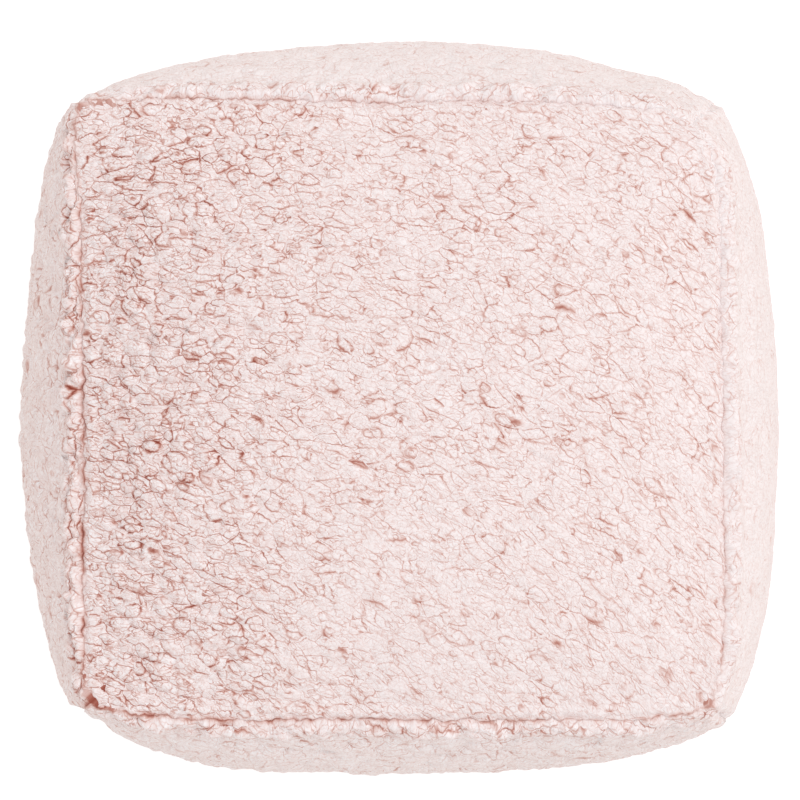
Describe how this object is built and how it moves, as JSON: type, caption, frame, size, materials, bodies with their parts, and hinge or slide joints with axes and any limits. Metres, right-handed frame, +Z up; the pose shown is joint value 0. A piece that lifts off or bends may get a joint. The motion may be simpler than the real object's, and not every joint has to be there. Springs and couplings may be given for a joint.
{
  "type": "square fleece pouf",
  "caption": "Square floor pouf in pale blush curled-pile fleece, a filled cube with a crowned top, bellied sides and a flat base.",
  "frame": {"origin": "middle of the base, on the surface that the pouf stands on", "axes": "+Z up, +X along the pouf's slightly longer side, -Y towards the front, which is the lower edge seen from above"},
  "size_m": [0.4603, 0.4443, 0.4],
  "materials": {
    "fleece": "pale blush-beige curled-pile fleece, matt, with pinker shade in the partings between its curls"
  },
  "bodies": {
    "root": {"top_panel": "fleece", "side_panel_front": "fleece", "side_panel_right": "fleece", "side_panel_back": "fleece", "side_panel_left": "fleece", "base_panel": "fleece"}
  },
  "joints": []
}
